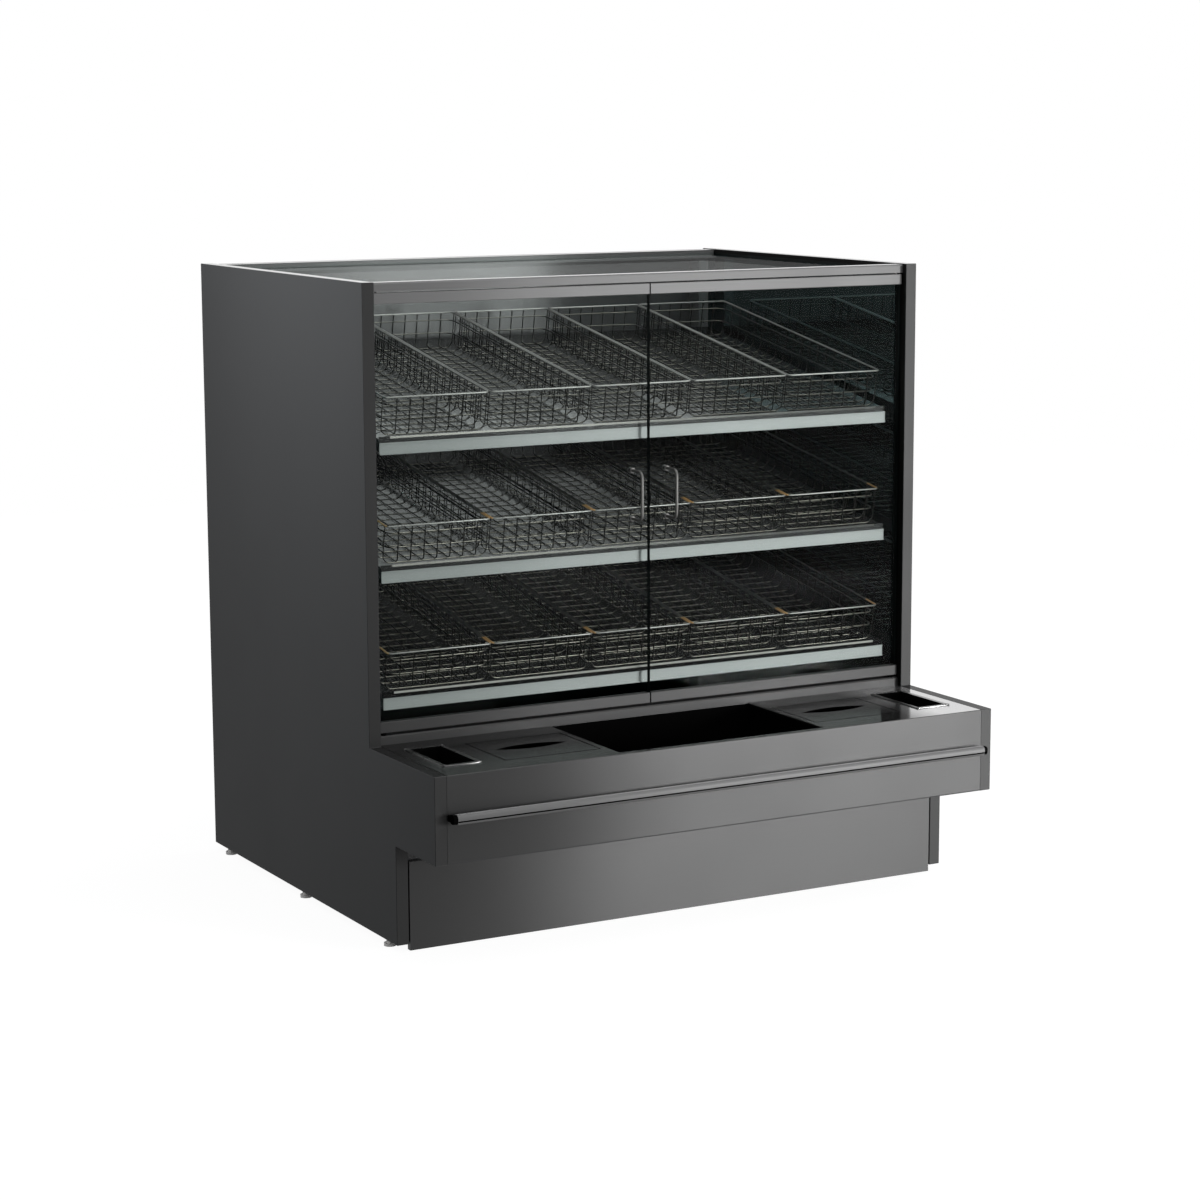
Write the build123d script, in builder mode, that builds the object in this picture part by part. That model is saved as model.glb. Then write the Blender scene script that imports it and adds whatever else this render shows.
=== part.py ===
"""A self-service display case: two tall side panels, a glass-doored upper case with three
sloping shelves of wire baskets, and a ledge in front that holds tongs, tissue and trays."""
import os
from math import cos, radians, sin, tan

from build123d import *

os.makedirs("parts", exist_ok=True)

# Driving dimensions, in millimetres. A depth is measured forward from the rear edge.
case_width = 1270.0
case_height = 1280.0
upper_depth = 826.0
ledge_reach = 1115.0
toe_depth = 940.0
ledge_height = 382.0
ledge_underside = 211.5
foot_height = 15.0
panel_thickness = 25.4
panel_chamfer = 0.8

# Boards and sheets
board = 19.0
ledge_board = 12.0
back_thickness = 22.0
back_inset = 3.0
back_top_drop = 2.0
liner_thickness = 3.0
ledge_skin = 2.0
skin_bottom_gap = 2.5
skin_side_gap = 1.2
kick_sheet = 2.0
kick_return = 12.0
kick_side_gap = 2.6
kick_floor_gap = 2.0
kick_top_gap = 34.0
kick_space = 18.0

# Top and doors
door_setback = 12.0
rail_top_drop = 1.5
header_height = 17.5
rail_depth = 24.0
rail_bevel = 3.0
lip_depth = 15.0
glass_inset = 8.0
top_glass_thickness = 6.0
glass_play = 0.6
sill_height = 18.0
sill_bevel = 2.5
deck_below_sill = 3.0
door_thickness = 16.0
door_rail_height = 21.4
door_top_gap = 2.7
door_bottom_gap = 5.5
door_end_gap = 3.0
door_split = 3.0
door_edge_chamfer = 1.0
pivot_from_panel = 14.0
door_glass_thickness = 6.0
glass_bite = 10.0
pin_radius = 3.5
pin_hold = 9.0
pin_reach = 10.0
bush_radius = 6.0
bush_length = 11.5
bush_end_room = 0.5
pin_clearance = 0.05
bush_clearance = 0.05
bush_collar_room = 0.3

# Door handles
handle_x = 40.0
handle_rod = 8.0
handle_length = 98.0
handle_standoff = 41.0
handle_bend = 12.0
handle_height = 836.0
handle_stud_radius = 3.5
handle_hole_room = 0.5
handle_cap_radius = 8.0
handle_cap_thickness = 4.0

# Shelves and baskets
shelf_count = 3
shelf_slope = 10.0
shelf_side_gap = 20.6
shelf_sheet = 1.5
shelf_flange = 25.0
shelf_lip = 5.0
top_room = 282.6
lowest_room = 80.6
strip_door_gap = 8.0
strip_sheet = 3.0
strip_height = 23.2
strip_drop = 9.2
strip_lip = 2.0
baskets_per_shelf = 5
basket_setback = 13.3
basket_rear_room = 116.5
basket_height = 80.0
basket_gap = 6.0
basket_row_margin = 14.0
basket_shelf_gap = 0.2
basket_wire = 4.0
basket_rim = 6.0
weld_gap = 0.05
floor_columns = 4
floor_rows = 11
wall_rows = 2

# Uprights and shelf brackets
upright_width = 25.0
upright_edge_room = 1.0
upright_depth = 40.0
upright_top_room = 6.0
upright_slot_width = 4.0
upright_slot_length = 14.0
upright_slot_pitch = 40.0
upright_slot_depth = 6.0
bracket_sheet = 4.0
bracket_rear_height = 70.0
bracket_front_height = 22.0
bracket_front_gap = 16.0
pan_rear_gap = 2.0
screw_radius = 3.0
screw_head_radius = 6.0
screw_head_height = 2.5
screw_grip = 12.0
screw_rows = 3
screw_end_room = 120.0
hole_clearance = 0.1

# Holders in the ledge
tong_center_inset = 68.6
tong_rear_room = 64.0
tong_front_room = 79.0
tong_width = 66.0
tong_floor_room = 28.5
tong_flange = 8.0
tong_sheet = 1.5
cover_pitch = 190.0
cover_rear_room = 66.0
cover_front_room = 63.0
cover_width = 210.0
cover_sheet = 3.0
slot_length = 156.0
slot_width = 38.0
slot_rear_shift = 7.0
tissue_box_wall = 6.0
tissue_box_floor = 3.0
drop_in_clearance = 0.5
bin_divider = 12.0
bin_front_edge = 15.0
bin_rear_clearance = 2.0
bin_wall = 2.5
bin_below_top = 1.0

# Base and feet
apron_board = 19.0
support_x = 300.0
support_bottom = 100.0
cleat_height = 30.0
magnet_radius = 10.0
magnet_x = 450.0
magnet_low = 45.0
magnet_high = 140.0
foot_pad_radius = 12.0
foot_pad_height = 6.0
foot_collar_radius = 8.0
foot_stem_radius = 4.0
foot_stem_length = 30.0
foot_end_inset = 60.0

# Bumper rail on the ledge
bumper_size = 20.0
bumper_round = 8.0
bumper_stand_off = 8.0
bumper_height = 301.0
bumper_end_gap = 9.6
bumper_groove_width = 1.5
bumper_groove_depth = 2.0
bumper_groove_drop = 3.5
bumper_cap_length = 8.0
bumper_cap_gap = 1.6
bumper_block_length = 40.0
bumper_block_height = 12.0
bumper_spacer_height = 4.0
bumper_block_x = 200.0

# Places that follow from the sizes above. X is centred, Y is centred on the whole depth.
overall_depth = ledge_reach + bumper_stand_off + bumper_size
half_width = case_width / 2
inner_half = half_width - panel_thickness
liner_half = inner_half - liner_thickness
back_inner_depth = back_inset + back_thickness
door_front_depth = upper_depth - door_setback
door_center_depth = door_front_depth - door_thickness / 2
door_back_depth = door_front_depth - door_thickness
rail_back_depth = door_front_depth - rail_depth
bulkhead_front_depth = rail_back_depth + board
header_top = case_height - rail_top_drop
header_bottom = header_top - header_height
glass_top = case_height - glass_inset
glass_bottom = glass_top - top_glass_thickness
sill_top = ledge_height + sill_height
deck_top = sill_top - deck_below_sill
deck_bottom = deck_top - board
ledge_board_bottom = ledge_height - ledge_board
ledge_pan_top = ledge_underside + ledge_board
skin_back_depth = ledge_reach - ledge_skin
tong_rear_depth = door_front_depth + tong_rear_room
tong_front_depth = ledge_reach - tong_front_room
tong_bottom = ledge_pan_top + tong_floor_room
cover_rear_depth = door_front_depth + cover_rear_room
cover_front_depth = ledge_reach - cover_front_room
pivot_x = inner_half - pivot_from_panel
slope = radians(shelf_slope)


def y_at(depth):
    """World Y of a depth measured forward from the rear edges of the side panels."""
    return overall_depth / 2 - depth


def slab(x_range, y_range, z_range, mode=Mode.ADD):
    """Adds or cuts a square-edged block in the part being built, face to face."""
    ranges = [sorted(pair) for pair in (x_range, y_range, z_range)]
    middle = tuple((low + high) / 2 for low, high in ranges)
    with Locations(middle):
        Box(*(high - low for low, high in ranges), mode=mode)


def keep(built, name):
    """Labels a finished piece and writes it under its own name."""
    built.part.label = name
    export_step(built.part, f"parts/{name}.step", write_pcurves=False)


# Side panels: one-inch boards cut to the stepped outline of the case, on threaded feet
foot_x = half_width - panel_thickness / 2
foot_depths = (foot_end_inset, toe_depth / 2, toe_depth - foot_end_inset)
panel_outline = [
    (y_at(0), foot_height),
    (y_at(0), case_height),
    (y_at(upper_depth), case_height),
    (y_at(upper_depth), ledge_height),
    (y_at(ledge_reach), ledge_height),
    (y_at(ledge_reach), ledge_underside),
    (y_at(toe_depth), ledge_underside),
    (y_at(toe_depth), foot_height),
]
for side_name, sign in (("left", -1), ("right", 1)):
    panel_low_x = min(sign * half_width, sign * inner_half)
    with BuildPart() as side_panel:
        with BuildSketch(Plane.YZ.offset(panel_low_x)):
            with BuildLine():
                Polyline(*panel_outline, close=True)
            make_face()
        extrude(amount=panel_thickness)
        chamfer(side_panel.edges(), panel_chamfer)
        with BuildSketch(Plane.XY.offset(foot_height)):
            with Locations(*[(sign * foot_x, y_at(depth)) for depth in foot_depths]):
                Circle(foot_stem_radius + hole_clearance)
        extrude(amount=foot_stem_length + hole_clearance, mode=Mode.SUBTRACT)
    keep(side_panel, f"{side_name}_side_panel")

# Levelling feet: a round pad, a turning collar and a threaded stem, six in all
foot_points = [(sign * foot_x, y_at(depth)) for sign in (-1, 1) for depth in foot_depths]
with BuildPart() as levelling_feet:
    with BuildSketch():
        with Locations(*foot_points):
            Circle(foot_pad_radius)
    extrude(amount=foot_pad_height)
    with BuildSketch(Plane.XY.offset(foot_pad_height)):
        with Locations(*foot_points):
            RegularPolygon(foot_collar_radius, 6)
    extrude(amount=foot_height - foot_pad_height)
    with BuildSketch(Plane.XY.offset(foot_height)):
        with Locations(*foot_points):
            Circle(foot_stem_radius)
    extrude(amount=foot_stem_length)
keep(levelling_feet, "levelling_feet")

# Back panel: a board between the side panels, drilled for the screws of the uprights
shelf_half = liner_half - shelf_side_gap
upright_x = shelf_half - upright_width / 2 - upright_edge_room
upright_top = header_bottom - upright_top_room
screw_low = deck_top + screw_end_room
screw_step = (upright_top - screw_end_room - screw_low) / (screw_rows - 1)
screw_points = [
    (sign * upright_x, screw_low + row * screw_step)
    for sign in (-1, 1)
    for row in range(screw_rows)
]
with BuildPart() as back_panel:
    slab(
        (-inner_half, inner_half),
        (y_at(back_inset), y_at(back_inner_depth)),
        (foot_height, case_height - back_top_drop),
    )
    with BuildSketch(Plane.XZ.offset(-y_at(back_inset))):
        with Locations(*screw_points):
            Circle(screw_radius + hole_clearance)
    extrude(amount=back_thickness, mode=Mode.SUBTRACT)
keep(back_panel, "back_panel")

# Upright screws: pan heads on the rear face, shanks into the uprights
with BuildPart() as upright_screws:
    with BuildSketch(Plane.XZ.offset(-y_at(back_inset))):
        with Locations(*screw_points):
            Circle(screw_head_radius)
    extrude(amount=-screw_head_height)
    with BuildSketch(Plane.XZ.offset(-y_at(back_inset))):
        with Locations(*screw_points):
            Circle(screw_radius)
    extrude(amount=back_thickness + screw_grip)
keep(upright_screws, "upright_screws")

# Uprights: two slotted steel posts standing on the case floor against the back panel
post_front_depth = back_inner_depth + upright_depth
slot_low = deck_top + upright_slot_pitch
slot_count = int((upright_top - slot_low) / upright_slot_pitch)
slot_points = [
    (sign * upright_x, slot_low + row * upright_slot_pitch)
    for sign in (-1, 1)
    for row in range(slot_count)
]
with BuildPart() as shelf_uprights:
    for sign in (-1, 1):
        slab(
            (sign * upright_x - upright_width / 2, sign * upright_x + upright_width / 2),
            (y_at(back_inner_depth), y_at(post_front_depth)),
            (deck_top, upright_top),
        )
    with BuildSketch(Plane.XZ.offset(-y_at(post_front_depth))):
        with Locations(*slot_points):
            Rectangle(upright_slot_width, upright_slot_length)
    extrude(amount=-upright_slot_depth, mode=Mode.SUBTRACT)
    with BuildSketch(Plane.XZ.offset(-y_at(back_inner_depth))):
        with Locations(*screw_points):
            Circle(screw_radius + hole_clearance)
    extrude(amount=screw_grip + hole_clearance, mode=Mode.SUBTRACT)
keep(shelf_uprights, "shelf_uprights")

# Side liners: a glossy sheet over the inner face of each side panel, above the case floor
with BuildPart() as side_liners:
    for sign in (-1, 1):
        slab(
            (sign * liner_half, sign * inner_half),
            (y_at(back_inner_depth), y_at(rail_back_depth)),
            (deck_top, glass_bottom),
        )
keep(side_liners, "side_liners")

# Header rail: the front top member, with a lip behind for the top glass and bush holes below
bush_points = [(sign * pivot_x, y_at(door_center_depth)) for sign in (-1, 1)]
bush_hole_depth = bush_length + bush_end_room
header_section = [
    (y_at(door_front_depth), header_bottom),
    (y_at(door_front_depth), header_top - rail_bevel),
    (y_at(door_front_depth - rail_bevel), header_top),
    (y_at(rail_back_depth), header_top),
    (y_at(rail_back_depth), header_bottom),
]
with BuildPart() as header_rail:
    with BuildSketch(Plane.YZ.offset(-inner_half)):
        with BuildLine():
            Polyline(*header_section, close=True)
        make_face()
    extrude(amount=2 * inner_half)
    slab(
        (-liner_half, liner_half),
        (y_at(rail_back_depth), y_at(rail_back_depth - lip_depth)),
        (header_bottom, glass_bottom),
    )
    with BuildSketch(Plane.XY.offset(header_bottom)):
        with Locations(*bush_points):
            Circle(bush_radius + bush_clearance)
    extrude(amount=bush_hole_depth, mode=Mode.SUBTRACT)
keep(header_rail, "header_rail")

# Rear top rail: holds the rear edge of the top glass against the back panel
with BuildPart() as rear_top_rail:
    slab(
        (-inner_half, inner_half),
        (y_at(back_inner_depth), y_at(back_inner_depth + rail_depth)),
        (glass_bottom, header_top),
    )
    slab(
        (-liner_half, liner_half),
        (y_at(back_inner_depth), y_at(back_inner_depth + rail_depth + lip_depth)),
        (header_bottom, glass_bottom),
    )
keep(rear_top_rail, "rear_top_rail")

# Top glass: one clear pane dropped between the two rails, on their lips
with BuildPart() as top_glass:
    slab(
        (-inner_half + glass_play, inner_half - glass_play),
        (
            y_at(back_inner_depth + rail_depth + glass_play),
            y_at(rail_back_depth - glass_play),
        ),
        (glass_bottom, glass_top),
    )
keep(top_glass, "top_glass")

# Sill rail: the riser under the doors, standing on the ledge, with the lower bush holes
sill_section = [
    (y_at(door_front_depth), ledge_height),
    (y_at(door_front_depth), sill_top - sill_bevel),
    (y_at(door_front_depth - sill_bevel), sill_top),
    (y_at(rail_back_depth), sill_top),
    (y_at(rail_back_depth), ledge_height),
]
with BuildPart() as sill_rail:
    with BuildSketch(Plane.YZ.offset(-inner_half)):
        with BuildLine():
            Polyline(*sill_section, close=True)
        make_face()
    extrude(amount=2 * inner_half)
    with BuildSketch(Plane.XY.offset(sill_top)):
        with Locations(*bush_points):
            Circle(bush_radius + bush_clearance)
    extrude(amount=-bush_hole_depth, mode=Mode.SUBTRACT)
keep(sill_rail, "sill_rail")

# Pivot bushes: plain above, with a collar below that carries the door
door_bottom = sill_top + door_bottom_gap
door_top = header_bottom - door_top_gap
with BuildPart() as pivot_bushes:
    for base, length in (
        (header_bottom, bush_length),
        (sill_top - bush_length, bush_length + door_bottom_gap - bush_collar_room),
    ):
        with BuildSketch(Plane.XY.offset(base)):
            with Locations(*bush_points):
                Circle(bush_radius)
                Circle(pin_radius + pin_clearance, mode=Mode.SUBTRACT)
        extrude(amount=length)
keep(pivot_bushes, "pivot_bushes")

# Case floor: the board under the lowest shelf, on two upright boards and two side cleats
with BuildPart() as case_floor:
    slab(
        (-inner_half, inner_half),
        (y_at(back_inner_depth), y_at(rail_back_depth)),
        (deck_bottom, deck_top),
    )
keep(case_floor, "case_floor")

with BuildPart() as floor_supports:
    for sign in (-1, 1):
        slab(
            (sign * support_x - board / 2, sign * support_x + board / 2),
            (y_at(back_inner_depth), y_at(rail_back_depth)),
            (support_bottom, deck_bottom),
        )
        slab(
            (sign * inner_half, sign * (inner_half - board)),
            (y_at(back_inner_depth), y_at(rail_back_depth)),
            (deck_bottom - cleat_height, deck_bottom),
        )
keep(floor_supports, "floor_supports")

# Bulkhead: the board across the case behind the ledge box, under the sill
with BuildPart() as bulkhead:
    slab(
        (-inner_half, inner_half),
        (y_at(rail_back_depth), y_at(bulkhead_front_depth)),
        (foot_height, ledge_board_bottom),
    )
keep(bulkhead, "bulkhead")

# Apron: the recessed board that carries the ledge box and the magnets of the kick panel
apron_front_depth = toe_depth - kick_space
with BuildPart() as apron_panel:
    slab(
        (-inner_half, inner_half),
        (y_at(apron_front_depth - apron_board), y_at(apron_front_depth)),
        (foot_height, ledge_underside),
    )
keep(apron_panel, "apron_panel")

# Kick panel: a shallow folded pan that pulls straight off its magnets
kick_half = inner_half - kick_side_gap
kick_top = ledge_underside - kick_top_gap
kick_back_depth = toe_depth - kick_return
with BuildPart() as kick_panel:
    slab(
        (-kick_half, kick_half),
        (y_at(kick_back_depth), y_at(toe_depth)),
        (kick_floor_gap, kick_top),
    )
    slab(
        (-kick_half + kick_sheet, kick_half - kick_sheet),
        (y_at(kick_back_depth), y_at(toe_depth - kick_sheet)),
        (kick_floor_gap + kick_sheet, kick_top - kick_sheet),
        mode=Mode.SUBTRACT,
    )
keep(kick_panel, "kick_panel")

# Kick magnets: four round catches from the apron to the back of the kick panel
with BuildPart() as kick_magnets:
    with BuildSketch(Plane.XZ.offset(-y_at(apron_front_depth))):
        with Locations(*[(sign * magnet_x, z) for sign in (-1, 1) for z in (magnet_low, magnet_high)]):
            Circle(magnet_radius)
    extrude(amount=kick_space - kick_sheet)
keep(kick_magnets, "kick_magnets")

# Ledge box: a bottom board and a top board with five cut-outs
with BuildPart() as ledge_pan:
    slab(
        (-inner_half, inner_half),
        (y_at(bulkhead_front_depth), y_at(skin_back_depth)),
        (ledge_underside, ledge_pan_top),
    )
keep(ledge_pan, "ledge_pan")

tong_x = inner_half - tong_center_inset
tong_y = y_at((tong_rear_depth + tong_front_depth) / 2)
tong_length = tong_front_depth - tong_rear_depth
cover_x = tong_x - cover_pitch
cover_y = y_at((cover_rear_depth + cover_front_depth) / 2)
cover_length = cover_front_depth - cover_rear_depth
bin_half = cover_x - cover_width / 2 - bin_divider
bin_rear_y = y_at(door_front_depth + bin_rear_clearance)
bin_front_y = y_at(ledge_reach - bin_front_edge)
bin_middle_y = (bin_rear_y + bin_front_y) / 2
bin_length = bin_rear_y - bin_front_y
tong_points = [(sign * tong_x, tong_y) for sign in (-1, 1)]
cover_points = [(sign * cover_x, cover_y) for sign in (-1, 1)]
skin_bottom = ledge_height - ledge_skin

with BuildSketch(Plane.XY.offset(skin_bottom)) as holder_openings:
    with Locations((0, bin_middle_y)):
        Rectangle(2 * bin_half, bin_length)
    with Locations(*tong_points):
        Rectangle(tong_width, tong_length)
    with Locations(*cover_points):
        Rectangle(cover_width, cover_length)

with BuildPart() as ledge_deck:
    slab(
        (-inner_half, inner_half),
        (y_at(rail_back_depth), y_at(skin_back_depth)),
        (ledge_board_bottom, skin_bottom),
    )
    extrude(holder_openings.sketch, amount=ledge_board_bottom - skin_bottom, mode=Mode.SUBTRACT)
keep(ledge_deck, "ledge_deck")

# Ledge sheet: one steel sheet folded over the top board and down the front of the ledge
skin_section = [
    (y_at(rail_back_depth), ledge_height),
    (y_at(skin_back_depth), ledge_height),
    (y_at(ledge_reach), skin_bottom),
    (y_at(ledge_reach), ledge_underside + skin_bottom_gap),
    (y_at(skin_back_depth), ledge_underside + skin_bottom_gap),
    (y_at(skin_back_depth), skin_bottom),
    (y_at(rail_back_depth), skin_bottom),
]
with BuildPart() as ledge_sheet:
    with BuildSketch(Plane.YZ.offset(-inner_half)):
        with BuildLine():
            Polyline(*skin_section[2:], skin_section[0], skin_section[1])
            RadiusArc(skin_section[1], skin_section[2], -ledge_skin)
        make_face()
    extrude(amount=2 * inner_half)
    for sign in (-1, 1):
        slab(
            (sign * inner_half, sign * (inner_half - skin_side_gap)),
            (y_at(door_front_depth), y_at(skin_back_depth)),
            (skin_bottom, ledge_height),
            mode=Mode.SUBTRACT,
        )
    extrude(holder_openings.sketch, amount=ledge_skin, mode=Mode.SUBTRACT)
keep(ledge_sheet, "ledge_sheet")

# Tray bin: an open-topped box that stands on the bottom board and lifts out
with BuildPart() as tray_bin:
    with BuildSketch(Plane.XY.offset(ledge_pan_top)):
        with Locations((0, bin_middle_y)):
            Rectangle(2 * (bin_half - drop_in_clearance), bin_length - 2 * drop_in_clearance)
    extrude(amount=ledge_height - bin_below_top - ledge_pan_top)
    offset(amount=-bin_wall, openings=tray_bin.faces().sort_by(Axis.Z)[-1])
keep(tray_bin, "tray_bin")

# Tong wells: steel cups hung by their flanges in the ledge
cup_width = tong_width - 2 * drop_in_clearance
cup_length = tong_length - 2 * drop_in_clearance
flange_width = tong_width + 2 * tong_flange
flange_length = tong_length + 2 * tong_flange
for (center_x, center_y), side_name in zip(tong_points, ("left", "right")):
    with BuildPart() as tong_well:
        with BuildSketch(Plane.XY.offset(tong_bottom)):
            with Locations((center_x, center_y)):
                Rectangle(cup_width, cup_length)
        extrude(amount=ledge_height - tong_bottom)
        with BuildSketch(Plane.XY.offset(ledge_height)):
            with Locations((center_x, center_y)):
                RectangleRounded(flange_width, flange_length, tong_flange / 2)
        extrude(amount=tong_sheet)
        with BuildSketch(Plane.XY.offset(tong_bottom + tong_sheet)):
            with Locations((center_x, center_y)):
                Rectangle(cup_width - 2 * tong_sheet, cup_length - 2 * tong_sheet)
        extrude(amount=ledge_height - tong_bottom, mode=Mode.SUBTRACT)
    keep(tong_well, f"{side_name}_tong_well")

# Tissue boxes stand on the bottom board; each carries a flush cover with a pointed slot
cover_bottom = ledge_height - cover_sheet
lid_width = cover_width - 2 * drop_in_clearance
lid_length = cover_length - 2 * drop_in_clearance
slot_y = cover_y + slot_rear_shift
for (center_x, center_y), side_name in zip(cover_points, ("left", "right")):
    with BuildPart() as tissue_box:
        with BuildSketch(Plane.XY.offset(ledge_pan_top)):
            with Locations((center_x, center_y)):
                Rectangle(lid_width, lid_length)
        extrude(amount=cover_bottom - ledge_pan_top)
        with BuildSketch(Plane.XY.offset(ledge_pan_top + tissue_box_floor)):
            with Locations((center_x, center_y)):
                Rectangle(lid_width - 2 * tissue_box_wall, lid_length - 2 * tissue_box_wall)
        extrude(amount=cover_bottom - ledge_pan_top, mode=Mode.SUBTRACT)
    keep(tissue_box, f"{side_name}_tissue_box")

    with BuildPart() as tissue_cover:
        with BuildSketch(Plane.XY.offset(cover_bottom)):
            with Locations((center_x, center_y)):
                Rectangle(lid_width, lid_length)
        extrude(amount=cover_sheet)
        with BuildSketch(Plane.XY.offset(cover_bottom)):
            with BuildLine():
                left_tip = (center_x - slot_length / 2, slot_y)
                right_tip = (center_x + slot_length / 2, slot_y)
                ThreePointArc(left_tip, (center_x, slot_y + slot_width / 2), right_tip)
                ThreePointArc(right_tip, (center_x, slot_y - slot_width / 2), left_tip)
            make_face()
        extrude(amount=cover_sheet, mode=Mode.SUBTRACT)
    keep(tissue_cover, f"{side_name}_tissue_cover")

# Bumper rail: a grooved satin bar across the fascia, between black end caps
rail_half = inner_half - bumper_end_gap
cap_size = bumper_size - 2 * bumper_cap_gap
bumper_y = y_at(overall_depth - bumper_size / 2)
groove_z = bumper_height - bumper_groove_drop
with BuildPart() as bumper_rail:
    with BuildSketch(Plane.YZ.offset(-rail_half)):
        with Locations((bumper_y, bumper_height)):
            RectangleRounded(bumper_size, bumper_size, bumper_round)
        with Locations((bumper_y - bumper_size / 2, groove_z)):
            Rectangle(2 * bumper_groove_depth, bumper_groove_width, mode=Mode.SUBTRACT)
    extrude(amount=2 * rail_half)
keep(bumper_rail, "bumper_rail")

with BuildPart() as bumper_mounts:
    for sign in (-1, 1):
        cap_low_x = min(sign * rail_half, sign * (rail_half + bumper_cap_length))
        with BuildSketch(Plane.YZ.offset(cap_low_x)):
            with Locations((bumper_y, bumper_height)):
                RectangleRounded(cap_size, cap_size, bumper_round - bumper_cap_gap)
        extrude(amount=bumper_cap_length)
        slab(
            (sign * rail_half, sign * (rail_half + bumper_cap_length)),
            (y_at(ledge_reach), bumper_y),
            (bumper_height - bumper_block_height / 2, bumper_height + bumper_block_height / 2),
        )
        slab(
            [sign * bumper_block_x + end * bumper_block_length / 2 for end in (-1, 1)],
            (y_at(ledge_reach), y_at(ledge_reach + bumper_stand_off)),
            (bumper_height - bumper_spacer_height / 2, bumper_height + bumper_spacer_height / 2),
        )
keep(bumper_mounts, "bumper_mounts")

# Shelves: folded pans that slope down to the front, on plate brackets from the uprights
strip_front_depth = door_back_depth - strip_door_gap
strip_back_depth = strip_front_depth - strip_sheet
basket_front_depth = strip_back_depth - basket_setback
top_floor_z = header_bottom - top_room
lowest_floor_z = deck_top + lowest_room
shelf_pitch = (top_floor_z - lowest_floor_z) / (shelf_count - 1)
shelf_names = ("lower", "middle", "upper")
floor_heights = [lowest_floor_z + shelf * shelf_pitch for shelf in range(shelf_count)]
pan_rear_depth = post_front_depth + pan_rear_gap
bracket_front_depth = strip_back_depth - bracket_front_gap


def pan_z(depth, floor_z):
    """Height of a shelf's top face at a depth, for a shelf whose baskets start at floor_z."""
    return floor_z + (basket_front_depth - depth) * tan(slope)


def sloped_section(front_depth, rear_depth, floor_z, top_drop, front_drop, rear_drop):
    """Four corners of a section under a shelf's top face, as (Y, Z) points."""
    return [
        (y_at(front_depth), pan_z(front_depth, floor_z) - top_drop),
        (y_at(rear_depth), pan_z(rear_depth, floor_z) - top_drop),
        (y_at(rear_depth), pan_z(rear_depth, floor_z) - rear_drop),
        (y_at(front_depth), pan_z(front_depth, floor_z) - front_drop),
    ]


for shelf_name, floor_z in zip(shelf_names, floor_heights):
    sheet = sloped_section(strip_back_depth, pan_rear_depth, floor_z, 0, shelf_sheet, shelf_sheet)
    flange = sloped_section(strip_back_depth, pan_rear_depth, floor_z, 0, shelf_flange, shelf_flange)
    front_z = pan_z(strip_back_depth, floor_z)
    rear_z = pan_z(pan_rear_depth, floor_z)
    with BuildPart() as shelf_pan:
        with BuildSketch(Plane.YZ.offset(-shelf_half)):
            with BuildLine():
                Polyline(*sheet, close=True)
            make_face()
        extrude(amount=2 * shelf_half)
        for low_x in (-shelf_half, shelf_half - shelf_sheet):
            with BuildSketch(Plane.YZ.offset(low_x)):
                with BuildLine():
                    Polyline(*flange, close=True)
                make_face()
            extrude(amount=shelf_sheet)
        slab(
            (-shelf_half, shelf_half),
            (y_at(strip_back_depth), y_at(strip_back_depth - shelf_sheet)),
            (front_z - shelf_flange, front_z + shelf_lip),
        )
        slab(
            (-shelf_half, shelf_half),
            (y_at(pan_rear_depth), y_at(pan_rear_depth + shelf_sheet)),
            (rear_z - shelf_flange, rear_z - shelf_sheet / 2),
        )
    keep(shelf_pan, f"{shelf_name}_shelf_pan")

with BuildPart() as shelf_brackets:
    for floor_z in floor_heights:
        section = sloped_section(
            bracket_front_depth,
            post_front_depth,
            floor_z,
            shelf_sheet,
            bracket_front_height,
            bracket_rear_height,
        )
        for sign in (-1, 1):
            with BuildSketch(Plane.YZ.offset(sign * upright_x - bracket_sheet / 2)):
                with BuildLine():
                    Polyline(*section, close=True)
                make_face()
            extrude(amount=bracket_sheet)
    rear_cut = (y_at(post_front_depth), y_at(pan_rear_depth + 2 * shelf_sheet))
    for floor_z in floor_heights:
        rear_z = pan_z(pan_rear_depth, floor_z)
        slab(
            (-shelf_half, shelf_half),
            rear_cut,
            (rear_z - shelf_flange - shelf_sheet, rear_z + shelf_sheet),
            mode=Mode.SUBTRACT,
        )
keep(shelf_brackets, "shelf_brackets")

# Price strips: shallow channels on the front edges of the shelves
for shelf_name, floor_z in zip(shelf_names, floor_heights):
    strip_top = floor_z - strip_drop
    with BuildPart() as price_strip:
        slab(
            (-shelf_half, shelf_half),
            (y_at(strip_front_depth), y_at(strip_back_depth)),
            (strip_top - strip_height, strip_top),
        )
        slab(
            (-shelf_half, shelf_half),
            (y_at(strip_front_depth), y_at(strip_front_depth - strip_sheet / 2)),
            (strip_top - strip_height + strip_lip, strip_top - strip_lip),
            mode=Mode.SUBTRACT,
        )
    keep(price_strip, f"{shelf_name}_price_strip")

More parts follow.
